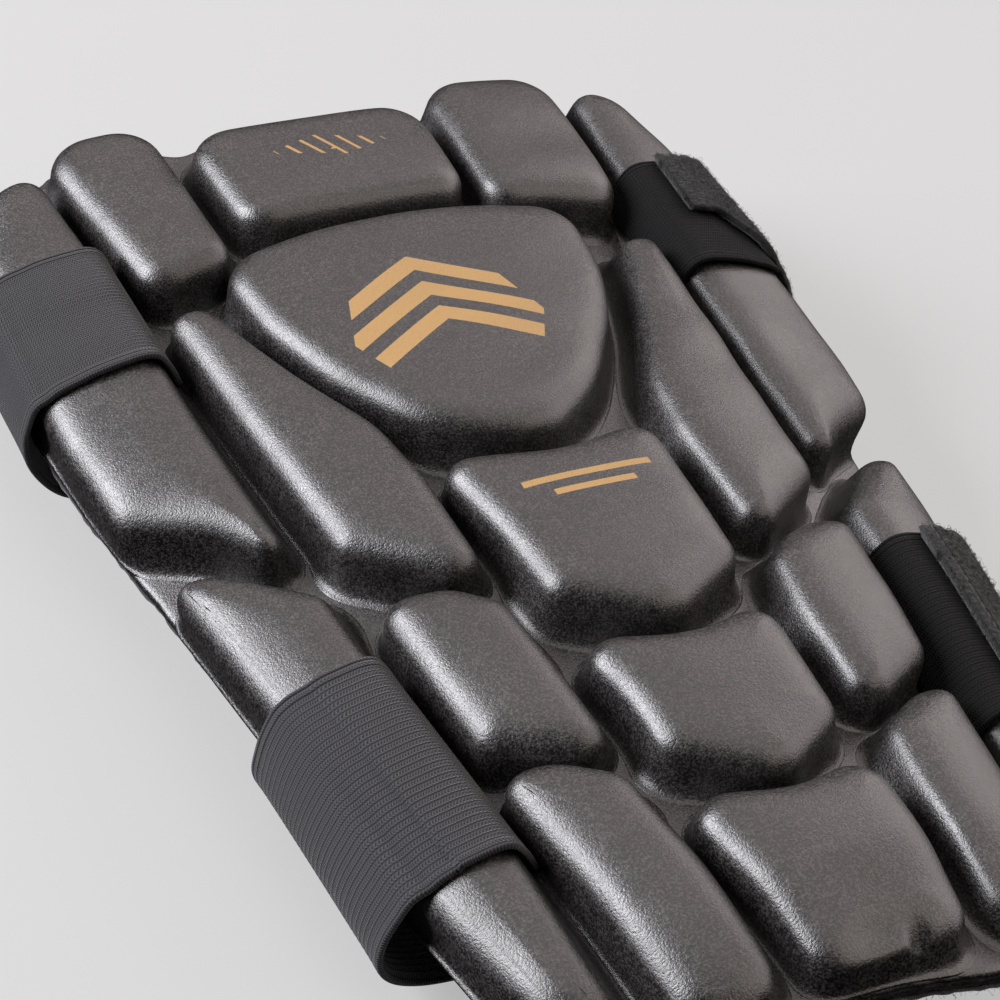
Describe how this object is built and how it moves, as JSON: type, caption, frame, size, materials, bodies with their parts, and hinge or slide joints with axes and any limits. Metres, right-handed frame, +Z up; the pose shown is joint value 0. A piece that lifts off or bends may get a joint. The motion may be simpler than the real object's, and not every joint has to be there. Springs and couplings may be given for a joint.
{
  "type": "cricket arm guard",
  "caption": "Curved forearm guard of dark moulded foam: raised pads on a flexible panel, held by two elastic straps with hook-and-loop tabs.",
  "frame": {"origin": "centre of the guard's bounding box on the surface that its two straps lie on", "axes": "+Y along the forearm towards the elbow end, +Z up out of the padded face, +X across the forearm to the right seen from the wrist end"},
  "size_m": [0.189, 0.2754, 0.0446],
  "materials": {
    "moulded_foam": "satin moulded foam skin with leather grain",
    "pad_foam": "satin pearl-sheen moulded foam skin with leather grain",
    "lining_cloth": "matt brushed knit",
    "elastic_grey": "ribbed woven elastic",
    "elastic_black": "ribbed woven elastic",
    "loop_pile": "fuzzy loop pile"
  },
  "bodies": {
    "root": {"flex_panel": "moulded_foam", "lining": "lining_cloth", "pad_centre_1": "pad_foam", "pad_centre_2": "pad_foam", "pad_centre_3": "pad_foam", "pad_centre_4": "pad_foam", "pad_centre_5": "pad_foam", "pad_inner_left_1": "pad_foam", "pad_inner_left_2": "pad_foam", "pad_inner_left_3": "pad_foam", "pad_inner_left_4": "pad_foam", "pad_inner_right_1": "pad_foam", "pad_inner_right_2": "pad_foam", "pad_inner_right_3": "pad_foam", "pad_inner_right_4": "pad_foam", "pad_outer_left_1": "pad_foam", "pad_outer_left_2": "pad_foam", "pad_outer_right_1": "pad_foam", "pad_outer_right_2": "pad_foam", "strap_upper": "elastic_grey", "anchor_band_upper": "elastic_black", "closure_tab_upper": "loop_pile", "strap_lower": "elastic_grey", "anchor_band_lower": "elastic_black", "closure_tab_lower": "loop_pile"}
  },
  "joints": []
}
